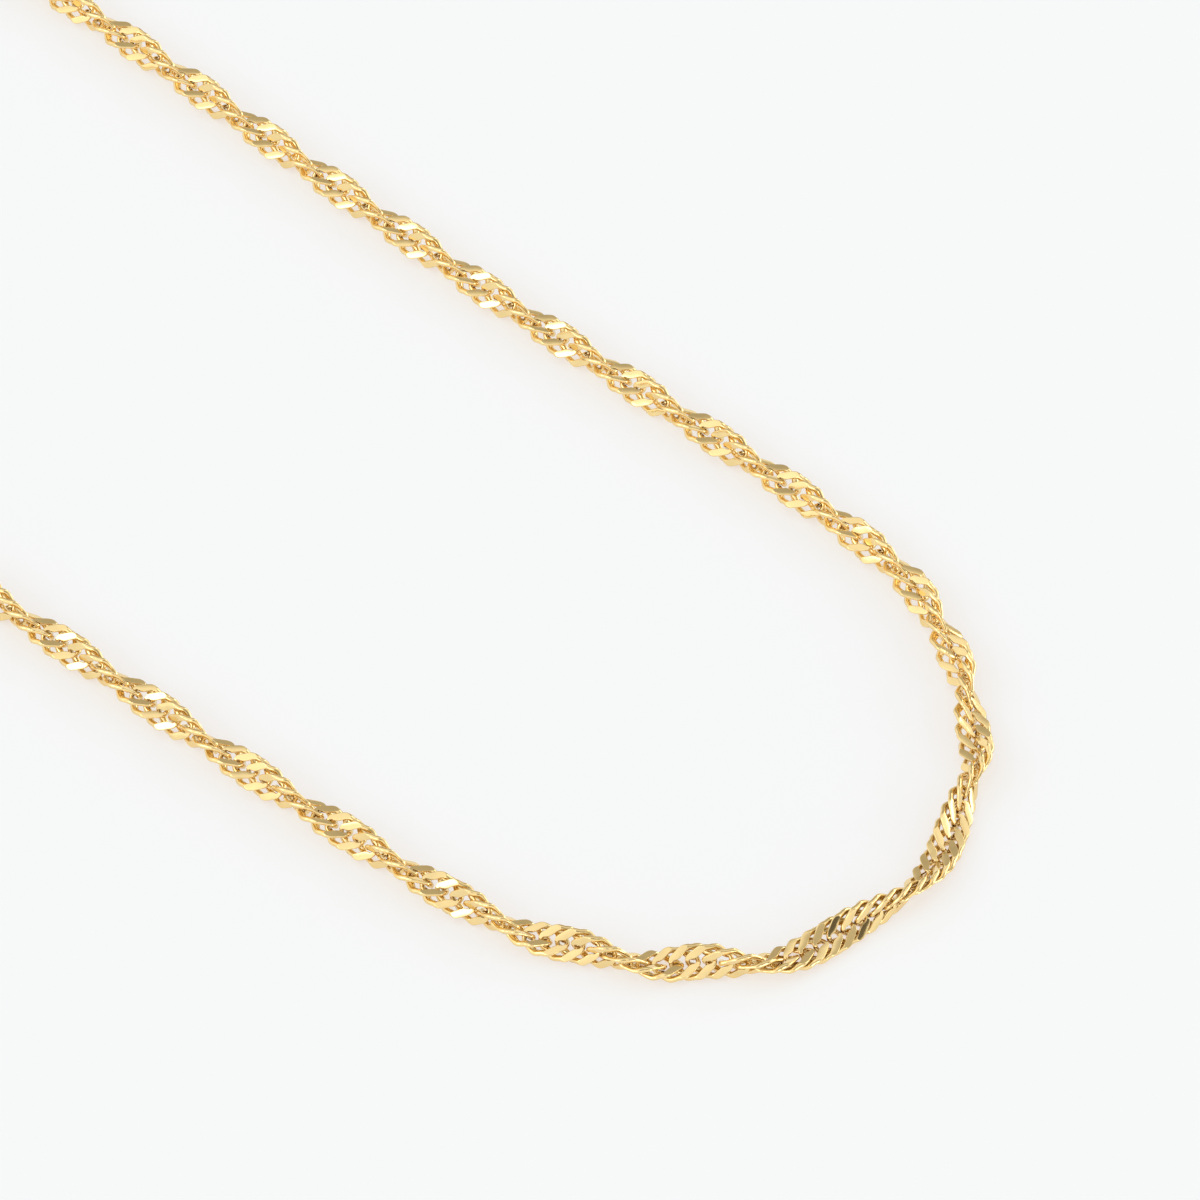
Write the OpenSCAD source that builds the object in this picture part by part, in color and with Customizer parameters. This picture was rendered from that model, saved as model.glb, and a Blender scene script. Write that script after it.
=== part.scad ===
/* [Chain] */
// Width of the twisted band that the interlocked links make
band_w = 2.0; // [1.9:0.05:2.1]
// Thickness of the band where its links cross
band_t = 0.8; // [0.7:0.05:0.9]
// Thickness of the band at its two edges
edge_t = 0.24; // [0.2:0.02:0.3]
// Width of the flat middle of the band, as a share of its whole width
flat_share = 0.6; // [0.5:0.05:0.7]
// Distance from one link to the next
link_pitch = 0.955; // [0.93:0.005:1]
// How far the band drops where it lies flat in the bend
bend_drop = 0.36; // [0.3:0.02:0.38]
// How far the band sways to each side as it turns in the bend
bend_sway = 0.2; // [0.1:0.05:0.2]

/* [End links] */
// Diameter of the wire of the last link at each end
end_wire_d = 0.4; // [0.36:0.02:0.42]
// Mean radius of the round nose of the last link
end_nose_r = 0.7; // [0.66:0.01:0.72]
// Reach of the nose's wire past the end of the band
end_reach = 0.95; // [0.9:0.05:1]

/* [Clasp] */
// Mean radius of the clasp's ring
clasp_r = 2.4; // [2.3:0.05:2.5]
// Diameter of the clasp's wire
clasp_wire_d = 0.9; // [0.8:0.05:0.95]
// Mean radius of the clasp's eyelet
eyelet_r = 0.8; // [0.75:0.05:0.85]
// Diameter of the eyelet's wire
eyelet_wire_d = 0.4; // [0.3:0.05:0.4]
// Distance from the middle of the clasp's ring to the middle of its eyelet
eyelet_gap = 3.3; // [3.2:0.05:3.4]
// Height of the clasp's centre above the surface
clasp_z = 1.1; // [1.1:0.05:1.2]

/* [Jump rings] */
// Mean radius of each jump ring
jump_r = 1.3; // [1.25:0.05:1.3]
// Diameter of the jump rings' wire
jump_wire_d = 0.4; // [0.3:0.05:0.4]
// Lean of each jump ring, from lying flat
jump_tilt = 40; // [36:1:42]
// Height of the jump rings' centres above the surface
jump_z = 1.06; // [1.04:0.01:1.1]

/* [Hidden] */

gold = [0.88, 0.70, 0.32];
ring_sides = 48;
wire_sides = 20;
weld = 0.3;
// The band rests on the corners of its edges, which sets its centre line's height
axis_z = norm([band_w, edge_t]) / 2;

// The line of the chain as it lies, from its end by the clasp, down the right strand,
// round the bend and back up the left strand: x to the right, y up from the bend's tip.
route = [
    [5.3, 203.5], [9, 202.9], [12.6, 201.1], [16, 198], [18.8, 193.6],
    [20.4, 188], [20.9, 181], [20.8, 165], [20.2, 140], [19.5, 115],
    [18.9, 92], [18.5, 76], [18, 65], [17.6, 56], [17.3, 46],
    [17.3, 36], [17.3, 27], [17, 20], [16.4, 15.2], [14.9, 11.5],
    [13, 8.3], [10.4, 5.3], [7.3, 3.1], [3.7, 1.6], [0, 1.1],
    [-3.7, 1.5], [-7.3, 2.7], [-10.4, 4.8], [-12.9, 7.8], [-15, 11.2],
    [-16.5, 15.2], [-17.4, 20.5], [-17.8, 27], [-18.1, 36], [-18.2, 47],
    [-18.7, 64], [-19.4, 90], [-20.1, 115], [-20.6, 140], [-20.9, 165],
    [-20.9, 181], [-20.4, 188], [-18.8, 193.6], [-16, 198], [-12.6, 201.1],
    [-9, 202.9], [-5.3, 203.5]
];
// Distance from the bend's tip to the middle of the whole necklace
tip_to_middle = 103.34;

// How far the band has turned about its centre line. The twist is right-handed.
// Columns: distance along the band, half turns
twist = [
    [0, 0.5],
    [150, 26.8],
    [189, 33.4],
    [205, 36.5],
    [213, 37.65],
    [229, 39.15],
    [246, 41.55],
    [439.5, 69.5]
];

// Where the band drops and sways, which it does only in the bend
// Columns: distance along the band, share of the drop and the sway
roll = [
    [203, 0],
    [209, 1],
    [241, 1],
    [249, 0]
];

// The route as a smooth curve through its points
steps = 16;
last = len(route) - 1;
padded = concat([2 * route[0] - route[1]], route, [2 * route[last] - route[last - 1]]);
function between(a, b, c, d, t) =
    (2 * b + (c - a) * t + (2 * a - 5 * b + 4 * c - d) * pow(t, 2)
    + (3 * b - a - 3 * c + d) * pow(t, 3)) / 2;
curve = concat(
    [for (i = [0 : last - 1]) for (k = [0 : steps - 1])
        between(padded[i], padded[i + 1], padded[i + 2], padded[i + 3], k / steps)],
    [route[last]]
);
gone = [for (i = 0, sum = 0; i < len(curve);
    sum = sum + norm(curve[min(i + 1, len(curve) - 1)] - curve[i]), i = i + 1) sum];
band_len = gone[len(gone) - 1];
x_at = [for (i = [0 : len(curve) - 1]) [gone[i], curve[i].x]];
y_at = [for (i = [0 : len(curve) - 1]) [gone[i], curve[i].y - tip_to_middle]];

function unit(v) = v / norm(v);
function half_turn_angle(s) = 180 * lookup(s, twist);
function plan(s) = [lookup(s, x_at), lookup(s, y_at)];

// A point of the centre line, and the way that the line heads there
nearby = 0.2;
function centre(s) =
    let (
        turn = half_turn_angle(s),
        share = lookup(s, roll),
        inside = max(nearby, min(band_len - nearby, s)),
        way = unit(plan(inside + nearby) - plan(inside - nearby)),
        point = plan(s) + share * bend_sway * sin(2 * turn) * [-way.y, way.x]
    )
    [point.x, point.y, axis_z - share * bend_drop * pow(abs(cos(turn)), 3)];
function heading(s) = unit(centre(s + nearby) - centre(s - nearby));

// The band's section: across its width, then through its thickness
section = [
    [band_w / 2, edge_t / 2],
    [flat_share * band_w / 2, band_t / 2],
    [-flat_share * band_w / 2, band_t / 2],
    [-band_w / 2, edge_t / 2],
    [-band_w / 2, -edge_t / 2],
    [-flat_share * band_w / 2, -band_t / 2],
    [flat_share * band_w / 2, -band_t / 2],
    [band_w / 2, -edge_t / 2]
];
function section_at(s) =
    let (
        turn = half_turn_angle(s),
        along = heading(s),
        side = unit([-along.y, along.x, 0]),
        up = cross(along, side),
        across = cos(turn) * side + sin(turn) * up,
        through = cos(turn) * up - sin(turn) * side
    )
    [for (p = section) centre(s) + p.x * across + p.y * through];

// The band of links as one swept solid, with a section at each link
module band() {
    count = round(band_len / link_pitch);
    sides = len(section);
    points = [for (i = [0 : count]) each section_at(i * band_len / count)];
    skin = [for (i = [0 : count - 1]) for (k = [0 : sides - 1])
        let (next = (k + 1) % sides)
        each [
            [i * sides + k, (i + 1) * sides + next, i * sides + next],
            [i * sides + k, (i + 1) * sides + k, (i + 1) * sides + next]
        ]];
    first_cap = [[for (k = [0 : sides - 1]) k]];
    last_cap = [[for (k = [sides - 1 : -1 : 0]) count * sides + k]];
    polyhedron(points = points, faces = concat(skin, first_cap, last_cap), convexity = 10);
}

// Where the two ends of the band lie, and the clasp between them
band_end_x = route[0].x;
clasp_y = route[0].y - tip_to_middle;
clasp_x = 1.2;
// Distance from the clasp's middle to the middle of each jump ring
clasp_to_clasp_ring = 4.85;
clasp_to_end_ring = 2.45;

// The open half of the last link, whose legs run into the end of the band
module end_link(toward) {
    leg = end_reach - end_nose_r + weld;
    translate([toward * (band_end_x - end_reach + end_nose_r), clasp_y, axis_z])
        rotate([90, 0, 0]) {
            rotate([0, 0, toward > 0 ? 90 : -90])
                rotate_extrude(angle = 180, $fn = ring_sides)
                    translate([end_nose_r, 0])
                        circle(d = end_wire_d, $fn = wire_sides);
            for (height = [-end_nose_r, end_nose_r])
                translate([0, height, 0])
                    rotate([0, toward * 90, 0])
                        cylinder(d = end_wire_d, h = leg, $fn = wire_sides);
        }
}
module chain() {
    color(gold)
        union() {
            band();
            end_link(1);
            end_link(-1);
        }
}

// A closed ring of round wire, lying flat about the origin
module wire_ring(mean_r, wire_d) {
    rotate_extrude($fn = ring_sides)
        translate([mean_r, 0])
            circle(d = wire_d, $fn = wire_sides);
}

module jump_ring(x) {
    translate([x, clasp_y, jump_z])
        rotate([jump_tilt, 0, 0])
            wire_ring(jump_r, jump_wire_d);
}

module clasp_ring() {
    color(gold)
        jump_ring(clasp_x - clasp_to_clasp_ring);
}

module end_ring() {
    color(gold)
        jump_ring(clasp_x + clasp_to_end_ring);
}

// A plain closed ring with an upright eyelet on its rim
module clasp() {
    color(gold)
        translate([clasp_x, clasp_y, clasp_z]) {
            wire_ring(clasp_r, clasp_wire_d);
            translate([-eyelet_gap, 0, 0])
                rotate([90, 0, 0])
                    wire_ring(eyelet_r, eyelet_wire_d);
        }
}

chain();
clasp_ring();
end_ring();
clasp();
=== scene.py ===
import math

import bpy
import numpy as np
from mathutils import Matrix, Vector


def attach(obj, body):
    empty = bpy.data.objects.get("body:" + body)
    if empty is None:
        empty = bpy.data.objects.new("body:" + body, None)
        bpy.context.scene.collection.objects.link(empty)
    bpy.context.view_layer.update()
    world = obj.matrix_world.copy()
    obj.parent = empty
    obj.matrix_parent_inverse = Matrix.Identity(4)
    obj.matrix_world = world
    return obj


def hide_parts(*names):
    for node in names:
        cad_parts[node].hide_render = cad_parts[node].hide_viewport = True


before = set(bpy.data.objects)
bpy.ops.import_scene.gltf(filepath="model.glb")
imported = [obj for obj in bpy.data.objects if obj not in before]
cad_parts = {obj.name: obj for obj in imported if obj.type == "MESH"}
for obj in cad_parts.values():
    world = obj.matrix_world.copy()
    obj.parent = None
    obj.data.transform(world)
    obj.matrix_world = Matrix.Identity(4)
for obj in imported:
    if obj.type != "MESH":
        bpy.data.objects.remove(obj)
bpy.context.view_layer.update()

MM = 0.001

# The line of the chain as it lies, as in the part's source, in millimetres:
# from its end by the clasp, down the right strand, round the bend and back.
ROUTE = [
    (5.3, 203.5), (9, 202.9), (12.6, 201.1), (16, 198), (18.8, 193.6),
    (20.4, 188), (20.9, 181), (20.8, 165), (20.2, 140), (19.5, 115),
    (18.9, 92), (18.5, 76), (18, 65), (17.6, 56), (17.3, 46),
    (17.3, 36), (17.3, 27), (17, 20), (16.4, 15.2), (14.9, 11.5),
    (13, 8.3), (10.4, 5.3), (7.3, 3.1), (3.7, 1.6), (0, 1.1),
    (-3.7, 1.5), (-7.3, 2.7), (-10.4, 4.8), (-12.9, 7.8), (-15, 11.2),
    (-16.5, 15.2), (-17.4, 20.5), (-17.8, 27), (-18.1, 36), (-18.2, 47),
    (-18.7, 64), (-19.4, 90), (-20.1, 115), (-20.6, 140), (-20.9, 165),
    (-20.9, 181), (-20.4, 188), (-18.8, 193.6), (-16, 198), (-12.6, 201.1),
    (-9, 202.9), (-5.3, 203.5),
]
# Distance from the bend's tip to the middle of the whole necklace
TIP_TO_MIDDLE = 103.34
# Steps of the smooth curve from one point of the route to the next
ROUTE_STEPS = 16
# How far to either side of a place the line is looked at, to tell the way it heads
NEARBY = 0.2

# How far the band of links has turned about its line. The twist is right-handed.
# Columns: distance along the band, half turns
TWIST = [
    (0, 0.5),
    (150, 26.8),
    (189, 33.4),
    (205, 36.5),
    (213, 37.65),
    (229, 39.15),
    (246, 41.55),
    (439.5, 69.5),
]

# Where the band drops and sways as it turns, which it does only in the bend
# Columns: distance along the band, share of the drop and the sway
ROLL = [
    (202, 0),
    (212, 1),
    (237, 1),
    (249, 0),
]
ROLL_DROP = 0.36
ROLL_SWAY = 0.2

# How closely the links follow each other
# Columns: distance along the band, distance from one link to the next
PITCH = [
    (190, 0.977),
    (205, 0.905),
    (235, 0.905),
    (250, 0.96),
]
# Places along the band where the pitch is taken, to work out where the links lie
PITCH_SAMPLES = 4001
# How far the first and the last link's middle lie in from the band's ends
END_INSET = 0.25

# The band rests on the corners of its edges, which sets its centre line's height
BAND_WIDTH = 2.0
BAND_EDGE = 0.24

# One link, in millimetres: an oval ring of wire that narrows towards both ends. Its
# quarters rise and dip out of its plane by turns, and both its faces are cut flat.
# The table is a quarter of its centre line, from the top to the left end.
# Columns: along the band, across it, out of the link's plane, half the wire's width
LINK_QUARTER = [
    (0, 0.82, 0, 0.17),
    (-0.245, 0.825, 0.08, 0.19),
    (-0.465, 0.745, 0.16, 0.22),
    (-0.83, 0.445, 0.17, 0.23),
    (-1.14, 0.27, 0.15, 0.145),
    (-1.20, 0, 0, 0.14),
]
# Steps of the smooth curve from one row of the table to the next
LINK_STEPS = 3
WIRE_HALF_HEIGHT = 0.165
# Distance of each cut face from the link's plane
CUT_HEIGHT = 0.23
# The angle about the wire, from its top, where a cut starts to show, and where it
# has its full edge; the flat then takes this share of the cut, and the rest is rounded
CUT_MIN_ANGLE = math.radians(7)
CUT_FULL_ANGLE = math.radians(60)
CUT_FLAT_SHARE = 0.88
# Polishing rounds a cut's flat by this share of the wire's own roundness
CUT_ROUNDING = 0.10
# The cuts of each link lean a little, each its own way. In degrees
CUT_LEAN = 2.0
SEED = 5


# The chain's line
def curve_through(p, steps):
    """The points of a smooth curve from the second point to the last but one."""
    t = (np.arange(steps) / steps)[:, None]
    return np.vstack([(2 * b + (c - a) * t + (2 * a - 5 * b + 4 * c - d) * t**2
                       + (3 * b - a - 3 * c + d) * t**3) / 2
                      for a, b, c, d in zip(p, p[1:], p[2:], p[3:])])


def open_line(points, steps):
    p = np.array(points, float)
    p = np.vstack([2 * p[0] - p[1], p, 2 * p[-1] - p[-2]])
    return np.vstack([curve_through(p, steps), p[-2:-1]])


def closed_line(points, steps):
    return curve_through(np.vstack([points[-1:], points, points[:2]]), steps)


class Band:
    """Where the links lie: their centres, and the way that each one faces."""

    def __init__(self):
        line = open_line(ROUTE, ROUTE_STEPS)
        line[:, 1] -= TIP_TO_MIDDLE
        self.line = line
        self.gone = np.r_[0, np.cumsum(np.linalg.norm(np.diff(line, axis=0), axis=1))]
        self.length = self.gone[-1]
        self.height = math.hypot(BAND_WIDTH, BAND_EDGE) / 2
        self.places = self.link_places()

    def link_places(self):
        """Distances along the band of a whole number of links."""
        s = np.linspace(END_INSET, self.length - END_INSET, PITCH_SAMPLES)
        per_mm = 1 / np.interp(s, *np.array(PITCH).T)
        count = np.r_[0, np.cumsum((per_mm[1:] + per_mm[:-1]) / 2 * np.diff(s))]
        runs = round(count[-1])
        return np.interp(np.arange(runs + 1) * count[-1] / runs, count, s)

    def turn(self, s):
        return np.pi * np.interp(s, *np.array(TWIST).T)

    def flat(self, s):
        return np.stack([np.interp(s, self.gone, self.line[:, k]) for k in (0, 1)], axis=-1)

    def at(self, s):
        """The centre line, which drops and sways with each turn in the bend."""
        way = self.flat(s + NEARBY) - self.flat(s - NEARBY)
        way /= np.linalg.norm(way, axis=1, keepdims=True)
        side = np.c_[-way[:, 1], way[:, 0]]
        roll = np.interp(s, *np.array(ROLL).T)
        turn = self.turn(s)
        sway = roll * ROLL_SWAY * np.sin(2 * turn)
        drop = roll * ROLL_DROP * np.abs(np.cos(turn)) ** 3
        return np.c_[self.flat(s) + side * sway[:, None], self.height - drop]

    def frames(self):
        """Each link's centre, and its length, width and face directions."""
        s = self.places
        along = self.at(s + NEARBY) - self.at(s - NEARBY)
        along /= np.linalg.norm(along, axis=1, keepdims=True)
        side = np.c_[-along[:, 1], along[:, 0], np.zeros(len(s))]
        side /= np.linalg.norm(side, axis=1, keepdims=True)
        up = np.cross(along, side)
        turn = self.turn(s)[:, None]
        across = np.cos(turn) * side + np.sin(turn) * up
        facing = np.cos(turn) * up - np.sin(turn) * side
        return self.at(s), along, across, facing


# The links
def link_line(nose_step):
    """A link's centre line, and half the wire's width along it. The half towards the
    next link rises and dips by turns with the rest for 1, and the other way for -1."""
    quarter = np.array(LINK_QUARTER)
    left = np.vstack([quarter, (quarter * (1, -1, -1, 1))[::-1][1:]])
    right = (left * (-1, -1, nose_step, 1))[1:-1]
    line = closed_line(np.vstack([left, right]), LINK_STEPS)
    return line[:, None, :3], line[:, 3, None, None]


def cut_rim(level):
    """Out and up from the wire's middle, as shares of its half width and half height,
    to the edge of a cut's flat and to the edge of the cut, at each ring of the link."""
    edge = np.arccos(np.clip(level, -1, math.cos(CUT_MIN_ANGLE)))
    full = np.clip(edge / CUT_FULL_ANGLE, 0, 1)
    flat = (1 - (1 - CUT_FLAT_SHARE) * full) * np.sin(edge)
    outer = np.maximum(edge, CUT_FULL_ANGLE)
    return [(flat, np.cos(edge)), (np.sin(outer), np.cos(outer))]


def tube_faces(sides, n):
    """The faces between rings of n points each, which follow each other in a circle."""
    ring = np.arange(sides)[:, None]
    after = (ring + 1) % sides
    k = np.arange(n)[None]
    then = (k + 1) % n
    return np.stack([ring * n + k, ring * n + then, after * n + then, after * n + k], axis=-1)


def link_mesh(nose_step=1):
    """One link about the origin: points, faces, normals, and which points are on a cut."""
    line, half_width = link_line(nose_step)
    sides = len(line)
    way = np.roll(line, -1, 0) - np.roll(line, 1, 0)
    way /= np.linalg.norm(way, axis=2, keepdims=True)
    out = np.cross(way, (0, 0, 1))
    out /= np.linalg.norm(out, axis=2, keepdims=True)
    up = np.cross(out, way)
    reach = WIRE_HALF_HEIGHT * up[:, 0, 2]
    levels = [(CUT_HEIGHT - sign * line[:, 0, 2]) / reach for sign in (1, -1)]
    top, bottom = cut_rim(levels[0]), cut_rim(levels[1])
    half = top + [(np.ones(sides), np.zeros(sides))] + [(x, -y) for x, y in bottom[::-1]]
    outline = np.array(half + [(-x, y) for x, y in half[::-1]])
    x, y = outline.transpose(1, 2, 0)[..., None]
    points = line + half_width * x * out + WIRE_HALF_HEIGHT * y * up
    normals = x / half_width * out + y / WIRE_HALF_HEIGHT * up
    normals /= np.linalg.norm(normals, axis=2, keepdims=True)
    n = len(outline)
    on_cut = np.zeros((sides, n), bool)
    # The top flat's two edges are the outline's ends, and the bottom flat's its middle
    flats = [(levels[0], (0, n - 1), 1), (levels[1], (n // 2 - 1, n // 2), -1)]
    for level, columns, sign in flats:
        here = level < math.cos(CUT_MIN_ANGLE)
        for column in columns:
            on_cut[here, column] = True
            normals[here, column] *= CUT_ROUNDING
            normals[here, column, 2] += sign
    faces = tube_faces(sides, n)
    return points.reshape(-1, 3), faces.reshape(-1, 4), normals.reshape(-1, 3), on_cut.reshape(-1)


def mesh_object(name, points, faces, normals, material):
    mesh = bpy.data.meshes.new(name)
    mesh.from_pydata(points.tolist(), [], faces.tolist())
    mesh.polygons.foreach_set("use_smooth", [True] * len(mesh.polygons))
    mesh.normals_split_custom_set_from_vertices(normals.tolist())
    mesh.update()
    mesh.materials.append(material)
    obj = bpy.data.objects.new(name, mesh)
    bpy.context.collection.objects.link(obj)
    return obj


def make_links(name, link, frames, lean, material):
    """A run of like links, joined into one piece that stands for the chain node."""
    points, faces, normals, on_cut = link
    centre, along, across, facing = frames
    count = len(centre)
    axes = np.stack([along, across, facing], axis=1)
    placed = centre[:, None] + np.einsum("mk,nkj->nmj", points, axes)
    pointed = np.einsum("mk,nkj->nmj", normals, axes)
    leaning = lean[:, :1] * along + lean[:, 1:] * across
    pointed[:, on_cut] += leaning[:, None]
    pointed /= np.linalg.norm(pointed, axis=2, keepdims=True)
    shift = np.arange(count)[:, None, None] * len(points)
    obj = mesh_object(name, placed.reshape(-1, 3) * MM, (faces[None] + shift).reshape(-1, 4),
                      pointed.reshape(-1, 3), material)
    cut = obj.data.attributes.new("cut", "FLOAT", "POINT")
    cut.data.foreach_set("value", np.tile(on_cut, count).astype(float))
    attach(obj, "root")
    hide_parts("chain")


def make_chain(material):
    """Every link of the chain: three long runs, and the last link by itself, whose nose
    steps the other way, so that the leaning jump ring passes through it."""
    frames = Band().frames()
    count = len(frames[0])
    leans = np.random.default_rng(SEED).normal(0, math.radians(CUT_LEAN), (count, 2))
    names = ["links_right_strand", "links_front_bend", "links_left_strand"]
    for name, run in zip(names, np.array_split(np.arange(count - 1), len(names))):
        make_links(name, link_mesh(), [values[run] for values in frames], leans[run], material)
    make_links("link_at_clasp_ring", link_mesh(-1), [values[-1:] for values in frames],
               leans[-1:], material)


# Materials
GOLD_CUT = (0.97, 0.74, 0.35)
GOLD_WIRE = (0.97, 0.735, 0.345)
# Dark brown painted on the round wire as painted shade, in the gaps where links shade each other
GOLD_PAINTED_SHADE = (0.15, 0.07, 0.022)
# How far about itself the gold looks for other gold, in millimetres, and how open a place is
# where the painted shade in the gaps starts to lift and where it is wholly gone
PAINTED_SHADE_REACH = 0.4
PAINTED_SHADE_SAMPLES = 4
PAINTED_SHADE_OPENNESS = (0.2, 0.6)
# Soft clouds over the polish change its brightness and its roughness a little
CLOUD_SCALE = 1100
CLOUD_DETAIL = 3
CLOUD_SPREAD = (0.3, 0.7)
CLOUD_BRIGHTNESS = (0.93, 1.04)
CLOUD_ROUGHNESS = (0.06, 0.13)
# Fine grain roughens its surface, to this depth in millimetres
GRAIN_SCALE = 9000
GRAIN_DETAIL = 2
GRAIN_DEPTH = 0.0015


class Tree:
    """Adds nodes to a material or world, each with its inputs and settings."""

    def __init__(self, owner):
        owner.use_nodes = True
        self.tree = owner.node_tree

    def feed(self, node, inputs):
        for socket, value in inputs.items():
            if isinstance(value, bpy.types.NodeSocket):
                self.tree.links.new(value, node.inputs[socket])
            else:
                node.inputs[socket].default_value = value

    def add(self, kind, output, inputs, **settings):
        node = self.tree.nodes.new("ShaderNode" + kind)
        for name, value in settings.items():
            setattr(node, name, value)
        self.feed(node, inputs)
        return node.outputs[output]

    def spread(self, value, from_min, from_max, to_min, to_max, smooth=False):
        inputs = {"Value": value, "From Min": from_min, "From Max": from_max,
                  "To Min": to_min, "To Max": to_max}
        kind = "SMOOTHERSTEP" if smooth else "LINEAR"
        return self.add("MapRange", "Result", inputs, interpolation_type=kind)

    def mix(self, share, first, second):
        inputs = {"Fac": share, "Color1": first, "Color2": second}
        return self.add("MixRGB", "Color", inputs)


def gold_material(name, has_cuts):
    """Polished gold plate: a shade paler where a link is cut flat than on the round
    wire, with painted shade, dark brown, on the round wire in the gaps where links shade each
    other."""
    material = bpy.data.materials.new(name)
    tree = Tree(material)
    place = tree.add("TexCoord", "Object", {})
    clouds = tree.add("TexNoise", "Fac", {"Vector": place, "Scale": CLOUD_SCALE,
                                          "Detail": CLOUD_DETAIL})
    grain = tree.add("TexNoise", "Fac", {"Vector": place, "Scale": GRAIN_SCALE,
                                         "Detail": GRAIN_DETAIL})
    openness = tree.add("AmbientOcclusion", "AO", {"Distance": PAINTED_SHADE_REACH * MM},
                        samples=PAINTED_SHADE_SAMPLES, only_local=True)
    # Painted shade: where other links lie close about the round wire, its gold turns dark brown
    unshaded = tree.spread(openness, *PAINTED_SHADE_OPENNESS, 0, 1)
    colour = tree.mix(unshaded, (*GOLD_PAINTED_SHADE, 1), (*GOLD_WIRE, 1))
    if has_cuts:
        cut = tree.add("Attribute", "Fac", {}, attribute_name="cut")
        colour = tree.mix(cut, colour, (*GOLD_CUT, 1))
    brightness = tree.spread(clouds, *CLOUD_SPREAD, *CLOUD_BRIGHTNESS)
    colour = tree.add("HueSaturation", "Color", {"Color": colour, "Value": brightness})
    bump = tree.add("Bump", "Normal", {"Height": grain, "Strength": 1.0,
                                       "Distance": GRAIN_DEPTH * MM})
    roughness = tree.spread(clouds, *CLOUD_SPREAD, *CLOUD_ROUGHNESS)
    tree.feed(material.node_tree.nodes["Principled BSDF"],
              {"Base Color": colour, "Metallic": 1, "Normal": bump, "Roughness": roughness})
    return material


def finish_fittings(material):
    for name in ("clasp_ring", "end_ring", "clasp"):
        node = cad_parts[name]
        node.data.materials.clear()
        node.data.materials.append(material)


# Floor, light and camera
# The floor is lit and also glows. The glow is warmer than its colour, so the metal's
# own shade on it is warm, while the open floor stays a neutral near-white.
FLOOR_SIZE = 3000
FLOOR_ROUGHNESS = 0.6
FLOOR_COLOUR = (0.22, 0.40, 0.46)
FLOOR_GLOW_COLOUR = (1.0, 0.763, 0.686)
FLOOR_GLOW = 0.706


def add_floor():
    mesh = bpy.data.meshes.new("floor")
    half = FLOOR_SIZE / 2 * MM
    mesh.from_pydata([(-half, -half, 0), (half, -half, 0), (half, half, 0), (-half, half, 0)],
                     [], [(0, 1, 2, 3)])
    material = bpy.data.materials.new("floor_white")
    tree = Tree(material)
    tree.feed(material.node_tree.nodes["Principled BSDF"],
              {"Base Color": (*FLOOR_COLOUR, 1), "Roughness": FLOOR_ROUGHNESS,
               "Specular IOR Level": 0.0,
               "Emission Color": (*FLOOR_GLOW_COLOUR, 1), "Emission Strength": FLOOR_GLOW})
    mesh.materials.append(material)
    obj = bpy.data.objects.new("floor", mesh)
    bpy.context.collection.objects.link(obj)


# The studio around the object, as soft patches of light and dark. Angles are in
# degrees, the azimuth from the front towards the right.
# Columns: azimuth, elevation, inner and outer radius, brightness that it adds
STUDIO = [
    (-49.6, 51, 5, 12, -0.80),
    (-3, 28, 5, 12, -0.87),
    (-122, 34, 6, 15, 1.80),
    (-122, 30, 15, 45, 0.22),
    (53, 5, 7, 25, 1.80),
    (53, 15, 15, 40, 0.15),
    (132, 28, 18, 44, -0.52),
    (0, 64, 10, 32, -0.44),
    (-16, 8, 4, 11, 4.00),
    (30, 22, 3, 9, 4.00),
    (91, 31, 3, 8, 4.00),
    (-82, 34, 3, 8, 3.00),
]
# The studio's brightness where no patch lies
STUDIO_BASE = 1.01
# As its brightness falls from the first value to the second, its light turns from
# white to this warm colour
SHADE_START = 1.0
SHADE_FULL = 0.3
SHADE_COLOUR = (1.0, 0.93, 0.82)


def away(azimuth, elevation):
    """The direction from the object towards a viewer at these angles."""
    a = math.radians(azimuth)
    e = math.radians(elevation)
    return Vector((math.sin(a) * math.cos(e), -math.cos(a) * math.cos(e), math.sin(e)))


def add_world():
    """A pale studio with bright and dark patches, which the polished metal mirrors."""
    world = bpy.data.worlds.new("studio")
    bpy.context.scene.world = world
    tree = Tree(world)
    view = tree.add("TexCoord", "Generated", {})
    total = STUDIO_BASE
    for azimuth, elevation, inner, outer, gain in STUDIO:
        nearness = tree.add("VectorMath", "Value", {0: view, 1: away(azimuth, elevation)},
                            operation="DOT_PRODUCT")
        patch = tree.spread(nearness, math.cos(math.radians(outer)),
                            math.cos(math.radians(inner)), 0, gain, smooth=True)
        total = tree.add("Math", "Value", {0: patch, 1: total}, operation="ADD")
    lit = tree.spread(total, SHADE_FULL, SHADE_START, 0, 1)
    colour = tree.mix(lit, (*SHADE_COLOUR, 1), (1, 1, 1, 1))
    tree.feed(world.node_tree.nodes["Background"], {"Color": colour, "Strength": total})


# The camera: angles in degrees, and all its lengths in millimetres
VIEW_AZIMUTH = -49.6
VIEW_ELEVATION = 51.0
VIEW_DISTANCE = 400.3
VIEW_AIM = (4.475, -75.68, 0.0)
VIEW_NEAREST = 10
VIEW_FARTHEST = 20000
SENSOR = 36.0
LENS = 211.35


def add_camera():
    data = bpy.data.cameras.new("camera")
    data.sensor_width = SENSOR
    data.lens = LENS
    data.clip_start = VIEW_NEAREST * MM
    data.clip_end = VIEW_FARTHEST * MM
    camera = bpy.data.objects.new("camera", data)
    bpy.context.collection.objects.link(camera)
    back = away(VIEW_AZIMUTH, VIEW_ELEVATION)
    camera.location = (Vector(VIEW_AIM) + VIEW_DISTANCE * back) * MM
    camera.rotation_euler = (-back).to_track_quat("-Z", "Y").to_euler()
    bpy.context.scene.camera = camera


add_camera()
add_floor()
add_world()
bpy.context.scene.view_settings.view_transform = "Standard"

make_chain(gold_material("link_gold", True))
finish_fittings(gold_material("fitting_gold", False))
